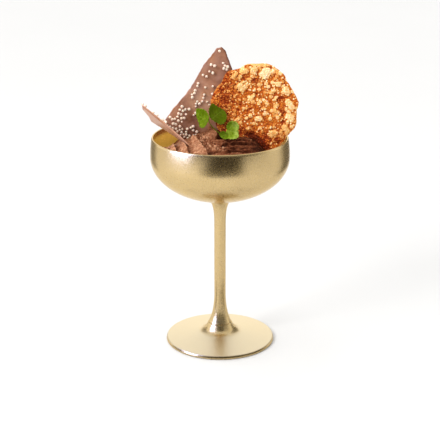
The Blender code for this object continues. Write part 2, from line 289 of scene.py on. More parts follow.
def mousse_material():
    mousse = Surface("chocolate_mousse", Specular_IOR_Level=0.05, Specular_Tint=(1.0, 0.82, 0.66, 1.0),
                     Subsurface_Weight=0.10, Subsurface_Radius=(1.0, 0.4, 0.25), Subsurface_Scale=0.001)
    tone = mousse.attribute("tone")
    speck = mousse.noise(1.3, 4.0, 0.65)
    base = mousse.ramp(tone, (0.0, (0.018, 0.003, 0.001)), (0.3, (0.110, 0.032, 0.013)),
                       (0.6, (0.27, 0.110, 0.053)), (1.0, (0.56, 0.296, 0.170)))
    mousse.set("Base Color", mousse.blend(mousse.span(speck, 0.40, 0.64, 0.0, 0.5), base,
                                          (0.085, 0.020, 0.008)))
    mousse.set("Roughness", mousse.span(speck, 0.3, 0.7, 0.40, 0.58))
    mousse.bump(speck, 0.7, 0.35)
    return mousse.material


def chocolate_material():
    chocolate = Surface("milk_chocolate", Specular_IOR_Level=0.35, Specular_Tint=(1.0, 0.86, 0.74, 1.0))
    tone = chocolate.attribute("tone")
    haze = chocolate.noise(9.0, 4.0)
    base = chocolate.ramp(tone, (0.0, (0.11, 0.030, 0.014)), (0.5, (0.42, 0.190, 0.105)),
                          (1.0, (0.68, 0.410, 0.255)))
    chocolate.set("Base Color", chocolate.blend(chocolate.span(haze, 0.4, 0.7, 0.0, 0.40), base,
                                                (0.56, 0.335, 0.285)))
    chocolate.set("Roughness", chocolate.span(haze, 0.3, 0.7, 0.32, 0.5))
    chocolate.bump(chocolate.noise(2.2, 3.0), 0.25, 0.2)
    return chocolate.material


def caramel_material():
    caramel = Surface("caramel_sugar", Specular_IOR_Level=0.15, Specular_Tint=(1.0, 0.80, 0.52, 1.0),
                      Subsurface_Weight=0.2, Subsurface_Radius=(1.0, 0.5, 0.2), Subsurface_Scale=0.0015)
    # The caramel depth attribute also carries painted shade and painted highlights on bead tops.
    burn_and_painted_shade = caramel.attribute("burn_and_painted_shade")
    # The paleness attribute also carries painted glints.
    puff_and_glint = caramel.attribute("puff_and_glint")
    fine = caramel.noise(1.1, 3.0, 0.6)
    body = caramel.ramp(burn_and_painted_shade, (0.0, (0.84, 0.350, 0.040)), (0.42, (0.63, 0.160, 0.014)),
                        (0.72, (0.40, 0.072, 0.013)), (0.9, (0.21, 0.022, 0.004)),
                        (1.0, (0.085, 0.010, 0.003)))
    mottle = caramel.ramp(fine, (0.38, (0.84, 0.74, 0.60)), (0.68, (1.15, 1.50, 1.80)))
    body = caramel.blend(1.0, body, mottle, "MULTIPLY")
    crust = caramel.ramp(puff_and_glint, (0.0, (0.82, 0.320, 0.045)), (0.55, (0.86, 0.500, 0.178)),
                         (0.85, (0.90, 0.660, 0.380)), (1.0, (0.96, 0.810, 0.540)))
    toasted = caramel.span(caramel.noise(1.5, 3.0), 0.42, 0.66, 0.0, 0.55)
    crust = caramel.blend(toasted, crust, (0.78, 0.36, 0.085))
    caramel.set("Base Color", caramel.blend(caramel.span(puff_and_glint, 0.05, 0.6, 0.0, 1.0), body, crust))
    caramel.set("Roughness", caramel.span(puff_and_glint, 0.0, 1.0, 0.15, 0.36))
    caramel.bump(fine, 0.7, 0.35)
    return caramel.material


def pearl_material():
    pearl = Surface("sugar_pearl", Subsurface_Weight=0.1, Subsurface_Scale=0.0006)
    dust = pearl.noise(0.8, 2.0)
    pearl.set("Base Color", pearl.ramp(dust, (0.35, (0.72, 0.54, 0.42)), (0.65, (0.90, 0.76, 0.63))))
    pearl.set("Roughness", pearl.span(dust, 0.3, 0.7, 0.28, 0.45))
    return pearl.material


def leaf_material():
    leaf = Surface("herb_leaf", Specular_IOR_Level=0.05, Subsurface_Weight=0.12,
                   Subsurface_Radius=(0.4, 1.0, 0.1), Subsurface_Scale=0.001)
    vein = leaf.attribute("vein")
    light = leaf.attribute("tone")
    mottled = leaf.noise(1.6, 3.0)
    base = leaf.ramp(light, (0.0, (0.052, 0.055, 0.0005)), (0.5, (0.092, 0.152, 0.001)),
                     (0.66, (0.160, 0.235, 0.010)), (1.0, (0.410, 0.520, 0.100)))
    base = leaf.blend(leaf.span(mottled, 0.40, 0.60, 0.0, 0.5), base, (0.065, 0.110, 0.001))
    leaf.set("Base Color", leaf.blend(leaf.span(vein, 0.0, 1.0, 0.0, 0.35), base, (0.32, 0.38, 0.06)))
    leaf.set("Roughness", leaf.span(mottled, 0.3, 0.7, 0.42, 0.56))
    leaf.bump(mottled, 0.45, 0.25)
    return leaf.material


# --- Camera, light and floor ---

SUN_STRENGTH = 2.1
ROOM_DIM = 0.26
BACK_BRIGHT = 1.5
OVERHEAD = 1.0
INNER_GLOW = 0.008
CAMERA_PLACE = (0.0, -0.8098, 0.3644)
CAMERA_PITCH = 18.86
CAMERA_LENS = 101.9
FLOOR_REACH = 8.0
FLOOR_Z = -0.0002
FLAG_STEPS = 24
# Dark cards that the gold mirrors, in metres: name, floor point of the first and the second side, bottom,
# top, density, slant, fades
FLAGS = (
    ("flag_bowl", (-0.129, -0.15), (0.125, -0.15), 0.083, 0.19, 1, 0.35, (0.092, 0.055, 0.022, 0.035)),
    ("flag_foot_front", (-0.030, -0.060), (0.050, -0.058), 0.001, 0.012, 1, 0, (0.015, 0, 0, 0.002)),
    ("flag_foot_right", (0.050, -0.058), (0.078, 0.005), 0.001, 0.012, 1, 0, (0, 0.010, 0, 0.002)),
    ("flag_foot_left", (-0.078, 0.005), (-0.058, -0.040), 0.001, 0.012, 1, 0, (0.010, 0.010, 0, 0.002)),
    ("flag_left", (-0.20, 0.10), (-0.20, 0.45), 0.02, 0.30, 0.75, 0, (0.02, 0, 0.03, 0.05)),
    ("flag_right", (0.20, 0.03), (0.20, 0.45), 0, 0.30, 0.85, 0, (0.08, 0, 0.02, 0.05)),
)


def add_light(name, place, aim, width, height, power, colour=(1.0, 1.0, 1.0)):
    """A soft rectangular lamp at place, turned towards aim; sizes in metres, power in watts."""
    lamp = bpy.data.lights.new(name, "AREA")
    lamp.shape = "RECTANGLE"
    lamp.size = width
    lamp.size_y = height
    lamp.energy = power
    lamp.color = colour
    item = put(name, lamp)
    item.location = place
    item.rotation_euler = (Vector(aim) - Vector(place)).to_track_quat("-Z", "Y").to_euler()
    return item


def make_world():
    """Pale surroundings: bright behind, dim in front where the room is, medium overhead."""
    world = bpy.data.worlds.new("studio")
    world.use_nodes = True
    nodes = Nodes(world.node_tree)
    around = nodes.add("ShaderNodeSeparateXYZ", Vector=nodes.add("ShaderNodeTexCoord").outputs["Generated"])
    level = nodes.span(around.outputs["Y"], -0.75, 0.55, ROOM_DIM, BACK_BRIGHT, "SMOOTHSTEP")
    above = nodes.span(around.outputs["Z"], 0.35, 0.95, 0.0, 1.0, "SMOOTHSTEP")
    camera_ray = nodes.add("ShaderNodeLightPath").outputs["Is Camera Ray"]
    seen = nodes.number_blend(camera_ray, nodes.number_blend(above, level, OVERHEAD), 1.0)
    sky = nodes.tree.nodes["Background"]
    sky.inputs["Color"].default_value = (1.0, 0.99, 0.97, 1.0)
    nodes.feed(sky.inputs["Strength"], seen)
    bpy.context.scene.world = world


def add_flag(name, corner_a, corner_b, low, high, density, slant, fades):
    """A dark upright card between two floor points, seen only by reflections. Density is how much it
    hides. Slant moves its upper corner on the first side towards the second, and fades are how wide its
    soft borders are on the first side, the second side, below and above."""
    dark = Surface(name + "_black", Roughness=0.9)
    shade = dark.noise(300.0, 1.0)
    dark.set("Base Color", dark.ramp(shade, (0.4, (0.020, 0.016, 0.010)), (0.6, (0.026, 0.020, 0.012))))
    points = []
    covers = []
    length = hypot(corner_b[0] - corner_a[0], corner_b[1] - corner_a[1])
    for row in range(FLAG_STEPS + 1):
        for column in range(FLAG_STEPS + 1):
            up, along = row / FLAG_STEPS, column / FLAG_STEPS
            shifted = mix(along, 1.0, slant * up * (1 - along))
            points.append((mix(corner_a[0], corner_b[0], shifted), mix(corner_a[1], corner_b[1], shifted),
                           mix(low, high, up)))
            insets = (along * length, (1 - along) * length, (high - low) * up, (high - low) * (1 - up))
            cover = density
            for fade, inset in zip(fades, insets):
                cover *= smooth_step(0.0, fade, inset) if fade else 1.0
            covers.append(cover)
    dark.set("Alpha", dark.attribute("cover"))
    flag = put_mesh(name, points, grid_faces(FLAG_STEPS + 1), dark.material, {"cover": covers})
    flag.visible_camera = False
    flag.visible_diffuse = False
    flag.visible_shadow = False
    flag.visible_transmission = False


def make_camera():
    camera = put("camera", bpy.data.cameras.new("camera"))
    camera.data.lens = CAMERA_LENS
    camera.data.sensor_width = 36.0
    camera.data.clip_end = 30.0
    camera.location = CAMERA_PLACE
    camera.rotation_euler = (radians(90 - CAMERA_PITCH), 0.0, 0.0)
    bpy.context.scene.camera = camera


def make_floor():
    white = Surface("floor_white", Roughness=0.7)
    white.set("Base Color", white.ramp(white.noise(400.0, 2.0), (0.3, 0.575), (0.7, 0.585)))
    corners = [(x * FLOOR_REACH, y * FLOOR_REACH, FLOOR_Z) for x, y in ((-1, -1), (1, -1), (1, 1), (-1, 1))]
    floor = put_mesh("floor", corners, [(0, 1, 2, 3)], white.material, {})


def make_stage():
    """Camera, surroundings, floor, cards and lamps. Gives back the two lamps that only the coupe gets."""
    bpy.context.scene.view_settings.view_transform = "Standard"
    make_camera()
    make_world()
    make_floor()
    for flag in FLAGS:
        add_flag(*flag)
    mirrored = add_light("window_left", (-0.80, -0.34, 0.45), (0, 0, 0.12), 0.58, 0.75, 6.5,
                         (0.82, 1.0, 2.4))
    mirrored.visible_diffuse = False
    body_light = add_light("key_left", (-0.62, -0.50, 0.62), (0, 0, 0.15), 0.34, 0.34, 6.0)
    body_light.visible_glossy = False
    fill = add_light("fill_front", (0.15, -1.0, 0.55), (0, 0, 0.15), 0.80, 0.80, 1.5)
    fill.visible_glossy = False
    inner = add_light("bowl_glow", (-0.018, 0.018, 0.172), (-0.040, 0.024, 0.142), 0.020, 0.020,
                      INNER_GLOW, (1.0, 0.90, 0.55))
    inner.visible_glossy = False
    inner.visible_camera = False
    soft_sun = bpy.data.lights.new("high_soft", "SUN")
    soft_sun.energy = SUN_STRENGTH
    soft_sun.angle = radians(70)
    item = put("high_soft", soft_sun)
    item.rotation_euler = Vector((0.40, -0.10, -1.0)).to_track_quat("-Z", "Y").to_euler()
    item.visible_glossy = False
    return mirrored, inner


def light_only(lamps, piece):
    """These lamps reach one piece and nothing else."""
    reached = bpy.data.collections.new("reached_" + piece.name)
    reached.objects.link(piece)
    for lamp in lamps:
        lamp.light_linking.receiver_collection = reached


# --- Coupe ---

RIM_RADIUS = BOWL_RADIUS - 1.15
WIDEST_Z = COUPE_HEIGHT - 13.6
BOWL_BOTTOM_Z = COUPE_HEIGHT - 43.2
WALL = 1.05
NECK_RADIUS = 8.8
SEAM_Z = 12.6
FOOT_RADIUS = 37.7
BEVEL_RADIUS = FOOT_RADIUS - 0.42
PLATE_RADIUS = 37.25
STEM_RADIUS = 4.0
STEM_LOW_Z = 33.0
STEM_HIGH_Z = 85.0
CONE_EDGE = (9.3, 10.2)
COUPE_SEGMENTS = 180


def bowl_radius(z, inset=0.0):
    if z >= WIDEST_Z:
        rise = (z - WIDEST_Z) / (COUPE_HEIGHT - WIDEST_Z)
        return BOWL_RADIUS - (BOWL_RADIUS - RIM_RADIUS) * rise ** 2 - inset
    depth = (WIDEST_Z - z) / (WIDEST_Z - BOWL_BOTTOM_Z - inset)
    return (BOWL_RADIUS - inset) * sqrt(max(1 - depth * depth, 0.0))


def bowl_arc(angle, inset=0.0):
    """(radius, height) on the round lower part of the bowl, at an angle in degrees from its bottom."""
    turn = radians(angle)
    return (BOWL_RADIUS - inset) * sin(turn), WIDEST_Z - (WIDEST_Z - BOWL_BOTTOM_Z - inset) * cos(turn)


def bezier(start, control_a, control_b, end, count):
    curve = []
    for step in range(1, count + 1):
        t = step / count
        weights = ((1 - t) ** 3, 3 * t * (1 - t) ** 2, 3 * t * t * (1 - t), t ** 3)
        curve.append(tuple(sum(w * p[axis] for w, p in zip(weights, (start, control_a, control_b, end)))
                           for axis in (0, 1)))
    return curve


def coupe_outline():
    """(radius, height) from the middle of the underside, up the outside and down the inside, and where
    the inside starts."""
    outline = [(radius, 0.0) for radius in (0.0, 12.0, 24.0, 33.0, FOOT_RADIUS - 0.9)]
    outline += bezier((FOOT_RADIUS - 0.5, 0.0), (FOOT_RADIUS, 0.05), (FOOT_RADIUS + 0.02, 0.5),
                      (FOOT_RADIUS, 0.9), 6)
    outline += [(mix(FOOT_RADIUS, BEVEL_RADIUS, step / 4), mix(0.9, 2.0, step / 4)) for step in range(1, 5)]
    outline += bezier((BEVEL_RADIUS, 2.0), (BEVEL_RADIUS - 0.08, 2.28), (BEVEL_RADIUS - 0.4, 2.36),
                      (BEVEL_RADIUS - 1.1, 2.4), 6)
    outline += bezier((BEVEL_RADIUS - 1.1, 2.4), (31.0, 3.1), (23.0, 4.2), (18.0, 5.1), 14)
    outline += bezier((18.0, 5.1), (13.4, 5.9), (11.2, 6.6), CONE_EDGE, 16)
    flare = bezier(CONE_EDGE, (7.6, 13.2), (4.3, 18.6), (STEM_RADIUS, STEM_LOW_Z), 22)
    above = next(index for index, (_, z) in enumerate(flare) if z > SEAM_Z)
    seam_radius = mix(flare[above - 1][0], flare[above][0], 0.5)
    groove = [(seam_radius + 0.08, SEAM_Z - 0.16), (seam_radius - 0.24, SEAM_Z),
              (seam_radius - 0.08, SEAM_Z + 0.16)]
    outline += flare[:above] + groove + flare[above:]
    outline += [(STEM_RADIUS, mix(STEM_LOW_Z, STEM_HIGH_Z, step / 12)) for step in range(1, 13)]
    neck_z = WIDEST_Z - (WIDEST_Z - BOWL_BOTTOM_Z) * sqrt(1 - (NECK_RADIUS / BOWL_RADIUS) ** 2)
    outline += bezier((STEM_RADIUS, STEM_HIGH_Z), (STEM_RADIUS, 94.0), (4.4, 99.5),
                      (NECK_RADIUS, neck_z), 18)
    start = degrees(asin(NECK_RADIUS / BOWL_RADIUS))
    outline += [bowl_arc(mix(start, 90, step / 36)) for step in range(1, 37)]
    lip = WALL / 2
    for step in range(1, 11):
        z = mix(WIDEST_Z, COUPE_HEIGHT - lip, step / 10)
        outline.append((bowl_radius(z), z))
    for angle in range(20, 181, 20):
        turn = radians(angle)
        outline.append((RIM_RADIUS - lip + lip * cos(turn), COUPE_HEIGHT - lip + lip * sin(turn)))
    first_inside = len(outline)
    for step in range(1, 10):
        z = mix(COUPE_HEIGHT - lip, WIDEST_Z, step / 10)
        outline.append((bowl_radius(z, WALL), z))
    outline += [bowl_arc(angle, WALL) for angle in range(90, 0, -3)]
    outline.append((0.0, BOWL_BOTTOM_Z + WALL))
    return outline, first_inside


def make_coupe(material):
    """The whole coupe as one turned solid, marked with where it is inner wall and where foot plate."""
    outline, first_inside = coupe_outline()
    rings = outline[1:-1]
    points = [(0.0, 0.0, outline[0][1])]
    inner = [0.0]
    foot = [0.0]
    for ring, (radius, z) in enumerate(rings, 1):
        for segment in range(COUPE_SEGMENTS):
            angle = 2 * pi * segment / COUPE_SEGMENTS
            points.append((radius * cos(angle), radius * sin(angle), z))
        plate = smooth_step(10.0, 16.0, radius) * (1 - smooth_step(8.0, 12.0, z)) * (radius < PLATE_RADIUS)
        inner += [smooth_step(first_inside, first_inside + 3, ring)] * COUPE_SEGMENTS
        foot += [plate] * COUPE_SEGMENTS
    points.append((0.0, 0.0, outline[-1][1]))
    inner.append(1.0)
    foot.append(0.0)
    top = 1 + (len(rings) - 1) * COUPE_SEGMENTS
    faces = fan(1, 0, COUPE_SEGMENTS) + stacked_bands(1, len(rings), COUPE_SEGMENTS)
    faces += fan(top, len(points) - 1, COUPE_SEGMENTS)
    return add_piece("coupe", points, faces, material, "coupe_glass",
                     {"inside": inner, "foot": foot}, sharp=50)


# --- Mousse ---

MOUSSE_LEVEL = COUPE_HEIGHT - 0.4
# Slabs folded over: start and end of the crest, height, width of the lit slope left of it at both ends
FOLDS = (
    ((-31, -16), (-28.6, -35), 1.7, 2, 4.4),
    ((-26, -12), (-20.3, -40.5), 2.6, 1.6, 6.5),
    ((-18.3, -11), (-8.6, -43.5), 3.6, 1.2, 10.5),
    ((-7.6, 8), (-2.4, -11), 4, 1, 11),
)
# Torn ridges at the front right: start, end, how far the middle bows back, height
RIDGES = (
    ((-4.5, -39.8), (22, -37), 0.5, 1.5), ((5, -34.5), (26, -29), -1.3, 1.2),
    ((0.5, -28), (20.5, -22), 1.6, 1.8), ((3, -21), (17, -15), -1, 1.2),
    ((-2, -13), (14.5, -6), 1.8, 1.7), ((15, -14), (28, -24), -1.5, 1.3),
)


def fold_rise(x, y):
    """Height and painted light that the crisp folds add: a slope painted lit up to a crest, then a sharp
    drop with painted shade in the trough beyond it.
    """
    rise = 0.0
    lit = 0.0
    for (x0, y0), (x1, y1), height, width_start, width_end in FOLDS:
        length = hypot(x1 - x0, y1 - y0)
        along = ((x - x0) * (x1 - x0) + (y - y0) * (y1 - y0)) / length
        right = ((x - x0) * (y0 - y1) + (y - y0) * (x1 - x0)) / length
        right += 0.45 * rough_noise(x, y, height, 3.0, 3)
        width = mix(width_start, width_end, min(max(along / length, 0.0), 1.0))
        window = smooth_step(-4.0, 1.0, along) * (1 - smooth_step(length, length + 4.0, along))
        if right < 0:
            slope = max(1 + right / width, 0.0)
            rise += height * window * slope
            lit += window * (0.9 * smooth_step(0.0, 0.35, slope) + 0.6 * bell(right, 0.6))
        else:
            drop = smooth_step(0.0, 0.7, right)
            trough = drop * bell(right / 2.4)
            rise += window * (height * (1 - drop) - 0.4 * height * trough)
            # Painted shade in the trough.
            lit -= 2.0 * window * trough
    return rise, lit


def ridge_rise(x, y):
    """Height and painted light of the torn ridges: a painted highlight along the crest line over a hollow
    front in painted shade.
    """
    rise = 0.0
    lit = 0.0
    for (x0, y0), (x1, y1), bow, height in RIDGES:
        t = (x - x0) / (x1 - x0)
        behind = y - mix(y0, y1, t) - 4 * bow * t * (1 - t)
        behind += 1.3 * rough_noise(0.5 * x, 0.7 * y, 9.0 * height, 3.6, 3)
        window = smooth_step(-0.15, 0.08, t) * (1 - smooth_step(0.85, 1.15, t))
        window *= min(max(0.9 + 0.9 * rough_noise(x, y0, height, 5.0, 2), 0.0), 1.3)
        rise += window * height * (smooth_step(-0.6, 0.2, behind) - smooth_step(0.3, 6.5, behind))
        rise -= 0.45 * window * height * bell(behind + 1.3, 1.0)
        # Painted highlight just behind the crest line, and painted shade on the front and in the hollow.
        lit += window * (1.1 * bell(behind - 0.5, 0.4) - 0.7 * bell(behind + 0.2, 0.4))
        lit -= window * 1.2 * bell(behind + 1.3, 1.1)
    return rise, lit


def mousse_ground(x, y):
    crown = 4.0 * bell(hypot(x + 3.0, y + 4.0), 26.0)
    back = 7.5 * smooth_step(6.0, 36.0, y)
    left = 12.0 * bell(hypot((x + 46.0) / 20.0, (y - 8.0) / 24.0))
    left += 9.0 * bell(hypot((x + 42.0) / 15.0, (y - 20.0) / 16.0))
    right = 9.0 * smooth_step(23.0, 33.0, x) * (1 - smooth_step(12.0, 34.0, y))
    swirl = 0.7 * sin(0.42 * x + 1.9 * sin(0.11 * y)) * smooth_step(4.0, 16.0, y)
    return MOUSSE_LEVEL + crown + swirl - back - left - right


# Places where the torn surface is coarse: middle, half length, half width, turn in degrees
CRUMBLED = (
    ((-9.5, -22), 21, 6, -65), ((-33.5, -22), 14, 7, -70), ((-23.5, -18), 9, 2.6, -75),
    ((-12, -6), 8, 4, -50), ((1, -35), 8, 5, 0), ((20, -16), 7, 4, 30),
)
# Small deep holes: middle, radius, depth
HOLES = (
    ((-6.6, -39.6), 2.4, 3.4), ((1, -12.6), 2.2, 3.2), ((3.4, -35.8), 1, 1.6),
    ((-27, -26), 1, 1.5), ((10.5, -31), 1.3, 1.4), ((24, -11), 3.4, 2.4),
    ((-13.6, -9.5), 0.9, 1.4), ((-9.2, -17), 0.8, 1.3), ((-33, -26), 1, 1.3),
    ((16, -18.5), 1.2, 1.2), ((-36, -18), 0.9, 1.2),
)
# Bits that stand just over the front rim: middle x, half width
RIM_BITS = ((-11.0, 7.0), (3.0, 8.0))
MOUSSE_SIDE = 262
SKIRT_STEPS = 14
SKIRT_TONE = 0.4
INTO_WALL = WALL - 0.2


def mousse_surface(x, y):
    """Height and tone of the mousse at a place: folds, ridges, crumbs, spoon pulls, grain and holes. The
    tone holds
    painted light and shade: it is darker towards the front right as painted shade, where the crisp shades
    it, with painted light on fold slopes, ridge crests and lumps, and painted shade in troughs, creases and
    holes."""
    folds, fold_lit = fold_rise(x, y)
    ridges, ridge_lit = ridge_rise(x, y)
    height = mousse_ground(x, y) + folds + ridges
    to_right = smooth_step(-8.0, 10.0, x)
    coarse = 0.0
    for (x0, y0), half_length, half_width, turn in CRUMBLED:
        coarse = max(coarse, smooth_step(0.0, 0.45, patch(x, y, x0, y0, half_length, half_width, turn)))
    coarse *= 1 - 0.8 * smooth_step(0.3, 0.8, fold_lit)
    pull = rough_noise(0.30 * x, 1.3 * y, 2.0, 2.6, 3) * (0.25 + 0.75 * to_right)
    grain = rough_noise(x, y, 7.0, 1.4, 3)
    _, gap, centre = cells(x + 0.25 * y + 0.6 * grain, 0.45 * y, 3.0, 1.7)
    lump = smooth_step(0.0, 0.45, gap) * (1 + 0.9 * noise.noise(centre * 3.7))
    crease = 1 - smooth_step(0.0, 0.16, abs(rough_noise(x, y, 31.0, 3.4, 2)))
    height += 0.6 * pull + 0.28 * grain + coarse * (1.5 * lump - 0.7) - 0.6 * crease * (0.4 + coarse)
    front = 1 - smooth_step(2.0, 18.0, y)
    # Painted shade towards the front right, and painted light and shade from the folds and ridges.
    tone = 0.59 - mix(0.16, 0.38, front) * to_right + 0.15 * fold_lit + 0.22 * ridge_lit + 0.27 * pull
    tone += 0.34 * grain * (1 - 0.35 * to_right)
    # Painted highlights on the coarse lumps and painted shade in the creases.
    tone += coarse * (0.50 * lump - 0.18) - 0.38 * crease * (0.3 + 0.7 * coarse)
    # Lighter along the front rim on the right; painted shade at the far front right.
    tone += 0.14 * bell(y + 40.5, 3.0) * to_right - 0.32 * smooth_step(18.0, 28.0, x) * front
    # Painted shadow of the crisp beside its lower left edge.
    tone -= 0.30 * bell(hypot((x + 6.0) / 6.0, y / 10.0))
    tone -= 0.10 * bell(hypot((x - 4.0) / 11.0, (y + 22.0) / 5.0))
    # Holes are painted dark as well as deep: painted shade in the hollows.
    for (x0, y0), radius, depth in HOLES:
        hollow = bell(hypot(x - x0, y - y0), radius)
        height -= depth * hollow
        tone -= 0.9 * hollow
    return height, min(max(tone, 0.0), 1.0)


def disc_point(column, row, side):
    """A point of a square grid moved into the unit circle."""
    u, v = 2 * column / (side - 1) - 1, 2 * row / (side - 1) - 1
    return u * sqrt(1 - v * v / 2), v * sqrt(1 - u * u / 2)


def make_mousse(material):
    """The filling: a square grid moved into the bowl's round, with a skirt down along the inner wall."""
    side = MOUSSE_SIDE
    reach = bowl_radius(COUPE_HEIGHT, INTO_WALL)
    points = []
    tones = []
    for row in range(side):
        for column in range(side):
            u, v = disc_point(column, row, side)
            z, tone = mousse_surface(u * reach, v * reach)
            bits = max(bell((u * reach - middle) / half_width) for middle, half_width in RIM_BITS) * (v < 0)
            bits *= 0.9 * (1 + rough_noise(u * reach, 0.0, 5.0, 2.2, 2))
            z = mix(z, min(z, COUPE_HEIGHT - 0.2 + bits), smooth_step(0.94, 1.0, hypot(u, v)))
            spread = bowl_radius(min(z, COUPE_HEIGHT), INTO_WALL)
            points.append((u * spread, v * spread, z))
            tones.append(tone)
    faces = grid_faces(side)
    border = list(range(side))
    border += [row * side + side - 1 for row in range(1, side)]
    border += [(side - 1) * side + column for column in range(side - 2, -1, -1)]
    border += [row * side for row in range(side - 2, 0, -1)]
    count = len(border)
    floor_z = BOWL_BOTTOM_Z + INTO_WALL
    loop = border
    for step in range(1, SKIRT_STEPS):
        share = sin(pi / 2 * step / SKIRT_STEPS)
        below = range(len(points), len(points) + count)
        for index in border:
            x, y, z = points[index]
            low = mix(z, floor_z, share)
            radius = bowl_radius(low, INTO_WALL)
            angle = atan2(y, x)
            points.append((radius * cos(angle), radius * sin(angle), low))
        faces += [(loop[(index + 1) % count], loop[index], below[index], below[(index + 1) % count])
                  for index in range(count)]
        loop = below
    points.append((0.0, 0.0, floor_z))
    faces += fan(loop[0], len(points) - 1, count)
    tones += [SKIRT_TONE] * (len(points) - len(tones))
    add_piece("mousse_filling", points, faces, material, "mousse", {"tone": tones})


# --- Thin sheets ---

SHARD_THICKNESS = 1.5


def broken_outline(corners, spacing, wave, seed):
    """A closed anticlockwise outline through the corners, straight but uneven between them."""
    outline = []
    for index, (x0, y0) in enumerate(corners):
        x1, y1 = corners[(index + 1) % len(corners)]
        length = hypot(x1 - x0, y1 - y0)
        count = max(int(length / spacing), 2)
        for step in range(count):
            t = step / count
            x, y = mix(x0, x1, t), mix(y0, y1, t)
            sway = wave * (rough_noise(x, y, seed, 3.0, 3) + 0.4 * sin(pi * t))
            outline.append((x - (y1 - y0) / length * sway, y + (x1 - x0) / length * sway))
    doubled_area = sum(outline[i - 1][0] * outline[i][1] - outline[i][0] * outline[i - 1][1]
                       for i in range(len(outline)))
    return outline if doubled_area > 0 else outline[::-1]


def add_shard(name, node, material, outline, centre, surface, rings, tone_of):
    """A thin closed sheet with rounded edges. The outline shrinks towards its centre in rings, and
    surface places each flat point in space."""
    flat = []
    for ring in range(rings):
        share = (1 - ring / rings) ** 0.9
        flat += [(mix(centre[0], s, share), mix(centre[1], t, share), ring) for s, t in outline]
    flat.append((*centre, rings))
    points = []
    tones = []
    for side in (1, -1):
        for s, t, ring in flat:
            here, normal = place_and_normal(surface, s, t)
            lift = SHARD_THICKNESS / 2 * (0.55, 0.86, 1.0)[min(ring, 2)]
            if ring:
                lift += 0.10 * rough_noise(s, t, 5.0 + side, 6.0, 3)
            points.append(here + normal * lift * side)
            tones.append(tone_of(s, t, side, ring))
    faces = sheet_faces(0, rings, len(outline))
    add_piece(name, points, faces, material, node, {"tone": tones})


def leaning_plane(origin, yaw, lean):
    yaw = radians(yaw)
    lean = radians(lean)
    right = Vector((cos(yaw), sin(yaw), 0.0))
    front_flat = Vector((sin(yaw), -cos(yaw), 0.0))
    up = Vector((0, 0, cos(lean))) - front_flat * sin(lean)
    return Vector(origin), right, up, right.cross(up)


# The tall shard stands behind the others; its flat outline lies in a plane with its origin at rim height.
TALL_PLANE = leaning_plane((0.0, 5.0, COUPE_HEIGHT), 12.0, 4.0)
TALL_OUTLINE = ((2.2, 59), (-0.8, 58.4), (-10, 47.5), (-17, 35.5), (-22.5, 28.5), (-31.5, 19.5),
                (-38.5, 11.2), (-31, 3), (-22.5, -5), (-6, -14), (12, -14), (17, 8),
                (13.5, 28), (9, 45), (6.2, 52.8), (4.6, 56.6))


def tall_surface(s, t):
    origin, right, up, front = TALL_PLANE
    bow = 1.6 * cos(pi * (s + 12.0) / 60.0) + 1.2 * sin(pi * t / 55.0)
    curl = 2.2 * smooth_step(14.0, 34.0, -s)
    return origin + right * s + up * t + front * (curl - bow)


def tall_tone(s, t, side, ring):
    # haze: a paler middle, partly pinkish bloom and partly a painted soft highlight; shade: painted shade
    # on the lower left.
    haze = 0.30 * bell(hypot((s + 6.0) / 12.0, (t - 22.0) / 16.0))
    shade = 0.42 * bell(hypot((s + 18.0) / 13.0, (t - 5.0) / 9.0))
    shade += 0.20 * bell(hypot((s + 16.0) / 4.5, (t - 12.4) / 4.0))
    # A darker rim all round, with painted shade along the upper right edge, whose side lies in shadow.
    edge = 0.22 if ring < 2 else 0.0
    if ring == 0:
        edge += 0.3 * smooth_step(0.0, 4.0, s) * smooth_step(34.0, 42.0, t)
    dull = 0.24 * bell(t - 42.0, 14.0)
    streaks = 0.22 * rough_noise(s + 0.6 * t, 0.45 * t, side, 8.0, 4)
    return 0.50 + haze - shade - edge - dull + streaks + 0.10 * rough_noise(s, t, side, 2.2, 2)


LEFT_TIP = Vector((-51.2, -12.0, 169.6))
LEFT_FAR = Vector((-47.6, 2.0, 157.4))
LEFT_ROOT = Vector((-15.0, -27.0, 142.8))
LEFT_OUTLINE = ((0.01, 0), (0.03, -0.32), (0.52, -0.02), (1, -0.01), (1.02, 0.08), (0.80, 0.22),
                (0.50, 0.50), (0.22, 0.78), (0.10, 0.84), (0.09, 0.42))
LEFT_LONG = LEFT_ROOT - LEFT_TIP
LEFT_SHORT = LEFT_FAR - LEFT_TIP - LEFT_LONG * 0.05


def left_surface(s, t):
    normal = LEFT_LONG.cross(LEFT_SHORT).normalized()
    bow = 1.3 * sin(pi * s / LEFT_LONG.length)
    return LEFT_TIP + LEFT_LONG.normalized() * s + LEFT_SHORT.normalized() * t + normal * bow


def left_tone(s, t, side, ring):
    edge = 0.25 if ring < 2 else 0.0
    edge += 0.22 * smooth_step(18.0, 38.0, s)
    # One face is painted lighter than the other as painted light; the rim and the root end are darker.
    return (1.0 if side > 0 else 0.66) - edge + 0.10 * rough_noise(s, t, side, 8.0, 3)


def make_shards(material):
    outline = broken_outline(TALL_OUTLINE, 0.7, 0.28, 3.0)
    add_shard("chocolate_shard_tall", "shard_tall", material, outline, (-8.0, 20.0), tall_surface, 26,
              tall_tone)
    size = LEFT_LONG.length, LEFT_SHORT.length
    outline = broken_outline([(s * size[0], t * size[1]) for s, t in LEFT_OUTLINE], 0.6, 0.22, 8.0)
    add_shard("chocolate_shard_left", "shard_left", material, outline, (0.32 * size[0], 0.25 * size[1]),
              left_surface, 16, left_tone)


# --- Sugar pearls ---

